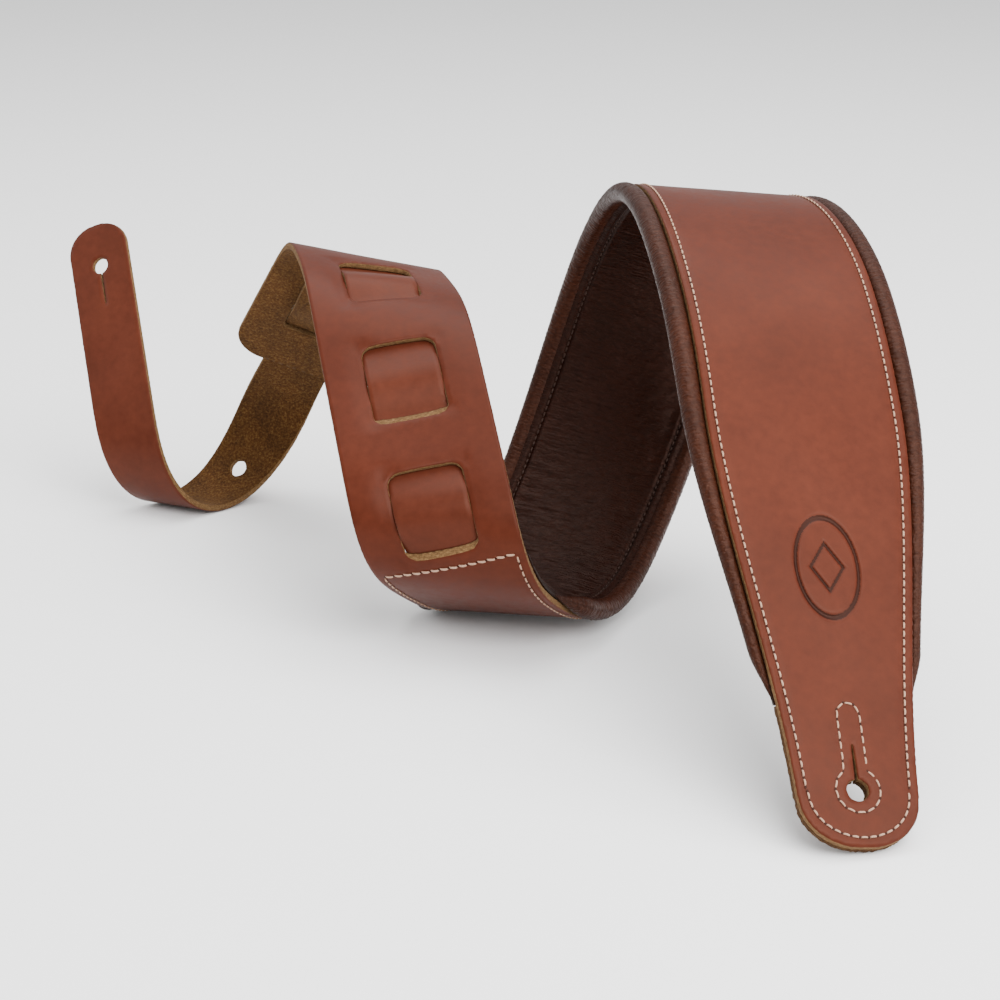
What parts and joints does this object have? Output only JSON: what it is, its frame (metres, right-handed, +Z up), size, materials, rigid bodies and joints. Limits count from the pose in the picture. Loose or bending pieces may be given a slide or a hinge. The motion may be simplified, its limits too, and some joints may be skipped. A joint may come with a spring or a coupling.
{
  "type": "guitar strap",
  "caption": "Padded leather guitar strap with rolled edges, a button tab, a slotted ladder and a tail strap woven through it, standing in a loose wave on the floor.",
  "frame": {"origin": "middle of the bounding box's footprint, on the floor that the strap stands on", "axes": "+Z up; +Y along the wave, from the padded button tab to the end of the tail strap; +X towards the side that the tab stands on"},
  "size_m": [0.374, 0.4364, 0.1876],
  "materials": {
    "main_leather": "satin red-brown top-grain, about 3 mm thick",
    "suede_backing": "matt olive-brown suede side, tan cut edges",
    "foam": "hidden closed-cell foam",
    "lining_leather": "soft dark brown garment leather, pebbled",
    "roll_leather": "soft dark brown garment leather drawn round a cord",
    "pale_thread": "waxed cream-pink thread, about 3.4 mm a stitch",
    "brown_thread": "dark brown thread",
    "tail_leather": "satin red-brown top-grain, tan cut edges"
  },
  "bodies": {
    "root": {"outer_leather": "main_leather", "tab_backing": "suede_backing", "foam_pad": "foam", "pad_lining": "lining_leather", "roll_left": "roll_leather", "roll_right": "roll_leather", "edge_thread_left": "pale_thread", "edge_thread_right": "pale_thread", "tab_thread": "pale_thread", "keyhole_thread": "pale_thread", "pad_end_thread": "pale_thread", "lining_thread_left": "brown_thread", "lining_thread_right": "brown_thread", "tail_strap": "tail_leather"}
  },
  "joints": []
}
